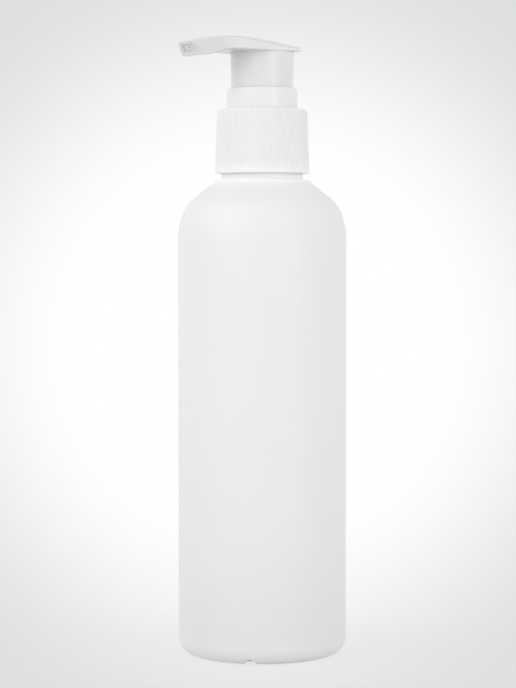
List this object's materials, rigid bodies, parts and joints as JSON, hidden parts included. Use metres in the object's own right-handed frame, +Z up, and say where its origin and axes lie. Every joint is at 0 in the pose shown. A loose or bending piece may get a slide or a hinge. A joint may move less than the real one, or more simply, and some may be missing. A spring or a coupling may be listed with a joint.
{
  "type": "lotion pump bottle",
  "caption": "Round white bottle with a ribbed screw collar and a lotion pump whose long, low head presses down and turns.",
  "frame": {"origin": "centre of the base, on the surface it stands on", "axes": "+Z up along the bottle's axis, -X along the spout"},
  "size_m": [0.0517, 0.05, 0.1831],
  "materials": {
    "bottle": "opaque white blown polyethylene, satin",
    "closure": "white moulded polypropylene, light gloss",
    "actuator": "white moulded polypropylene, light gloss",
    "inner": "natural polypropylene",
    "seal": "soft natural polyethylene",
    "tube": "translucent extruded polyethylene",
    "gasket": "foamed polyethylene",
    "steel": "stainless steel"
  },
  "bodies": {
    "bottle": {"bottle": "bottle"},
    "pump": {"pump_housing": "closure", "neck_gasket": "gasket", "stem_guide": "inner", "ball_retainer": "inner", "dip_tube": "tube"},
    "collar": {"collar": "closure"},
    "ball": {"inlet_ball": "steel"},
    "spring": {"return_spring": "steel"},
    "plunger": {"actuator": "actuator", "plunger_stem": "inner", "piston_rod": "inner"},
    "piston": {"piston": "seal"}
  },
  "joints": [
    {"name": "pump_lift", "type": "slide", "parent": "bottle", "child": "pump", "axis": [0, 0, 1], "range_m": [0, 0.00476]},
    {"name": "collar_turn", "type": "hinge", "parent": "pump", "child": "collar", "pos_m": [0, 0, 0.15], "axis": [0, 0, 1], "range_deg": [0, 540]},
    {"name": "spout_turn", "type": "hinge", "parent": "pump", "child": "spring", "pos_m": [0, 0, 0.17], "axis": [0, 0, 1], "continuous": true},
    {"name": "head_press", "type": "slide", "parent": "spring", "child": "plunger", "axis": [0, 0, -1], "range_m": [0, 0.007], "stiffness_N_per_m": 650, "springref_m": -0.008, "deforming": ["return_spring"]},
    {"name": "piston_slip", "type": "slide", "parent": "plunger", "child": "piston", "axis": [0, 0, 1], "range_m": [0, 0.0012]},
    {"name": "inlet_ball_lift", "type": "slide", "parent": "pump", "child": "ball", "axis": [0, 0, 1], "range_m": [0, 0.0018]}
  ],
  "couplings": [
    {"joint": "collar_turn", "follows": "pump_lift", "rad_per_m": 1979}
  ]
}
